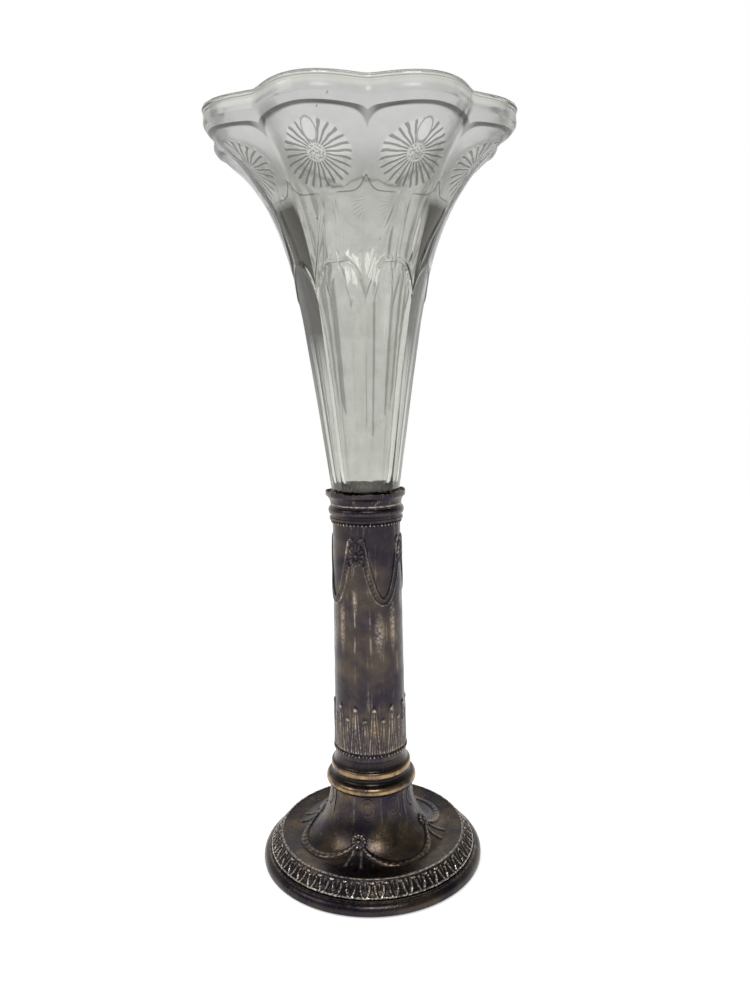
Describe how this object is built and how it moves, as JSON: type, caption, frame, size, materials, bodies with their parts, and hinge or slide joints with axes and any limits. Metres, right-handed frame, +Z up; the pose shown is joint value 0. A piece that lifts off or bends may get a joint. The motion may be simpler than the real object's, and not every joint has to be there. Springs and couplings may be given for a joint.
{
  "type": "trumpet vase",
  "caption": "Pressed-glass trumpet vase with a lobed, flared mouth, standing in a plated column on a weighted round foot; the glass turns in its socket and lifts out.",
  "frame": {"origin": "middle of the underside, on the table", "axes": "+Z up along the axis of the column and the glass, -Y to the front"},
  "size_m": [0.1244, 0.1244, 0.32],
  "materials": {
    "plated_metal": "silver plate tarnished almost black, worn to copper and brass on the raised edges",
    "bare_brass": "dull, unplated",
    "steel": "dull, bare",
    "plaster": "matte",
    "baize": "felted",
    "cork": "matte",
    "clear_glass": "pressed, clear, faint grey tint"
  },
  "bodies": {
    "stand": {"foot_skirt": "plated_metal", "leaf_border": "plated_metal", "foot_dome": "plated_metal", "foot_collar": "plated_metal", "column_base_ring": "plated_metal", "column_tube": "plated_metal", "lower_bead_wire": "plated_metal", "upper_bead_wire": "plated_metal", "upper_ring": "plated_metal", "socket_lip": "plated_metal", "seat_ring": "bare_brass", "rod_bridge": "bare_brass", "base_plate": "bare_brass", "tie_rod": "steel", "rod_nut": "steel", "rod_washer": "steel", "plaster_filling": "plaster", "baize_disc": "baize"},
    "seat": {"cork_seat": "cork"},
    "glass": {"glass_trumpet": "clear_glass"}
  },
  "joints": [
    {"name": "glass_turn", "type": "hinge", "parent": "stand", "child": "seat", "pos_m": [0, 0, 0.157], "axis": [0, 0, 1], "continuous": true},
    {"name": "glass_lift", "type": "slide", "parent": "seat", "child": "glass", "axis": [0, 0, 1], "range_m": [0, 0.06]}
  ]
}
